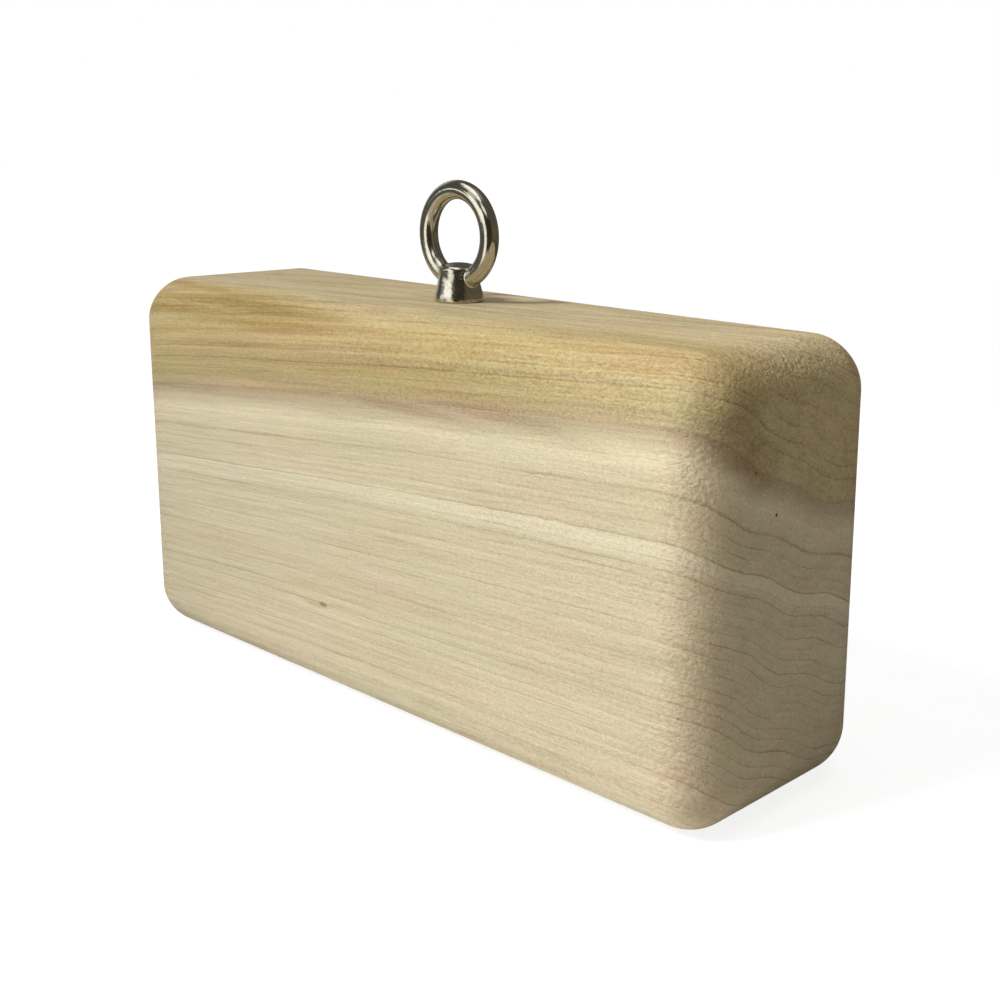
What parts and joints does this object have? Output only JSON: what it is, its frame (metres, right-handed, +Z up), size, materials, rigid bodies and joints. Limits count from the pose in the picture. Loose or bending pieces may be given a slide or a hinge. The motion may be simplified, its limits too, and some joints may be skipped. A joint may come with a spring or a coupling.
{
  "type": "hanging pinch block",
  "caption": "Solid wood grip block with rounded edges that hangs from a polished ring nut on top, held by a through bolt from a counterbore underneath.",
  "frame": {"origin": "centre of the block's underside", "axes": "+X along the block, +Y through its thickness, +Z up towards the ring"},
  "size_m": [0.204, 0.06, 0.1292],
  "materials": {
    "wood": "matte",
    "stainless": "polished",
    "zinc_steel": "satin"
  },
  "bodies": {
    "block": {"wood_block": "wood"},
    "eye": {"eye_nut": "stainless"},
    "bolt": {"hex_bolt": "zinc_steel", "spring_washer": "zinc_steel", "flat_washer": "zinc_steel"}
  },
  "joints": [
    {"name": "bolt_drop", "type": "slide", "parent": "block", "child": "bolt", "axis": [0, 0, 1], "range_m": [-0.0068, 0]},
    {"name": "eye_turn", "type": "hinge", "parent": "block", "child": "eye", "pos_m": [0, 0, 0.1], "axis": [0, 0, 1], "range_deg": [0, 2448]}
  ],
  "couplings": [
    {"joint": "eye_turn", "follows": "bolt_drop", "rad_per_m": -6283.2}
  ]
}
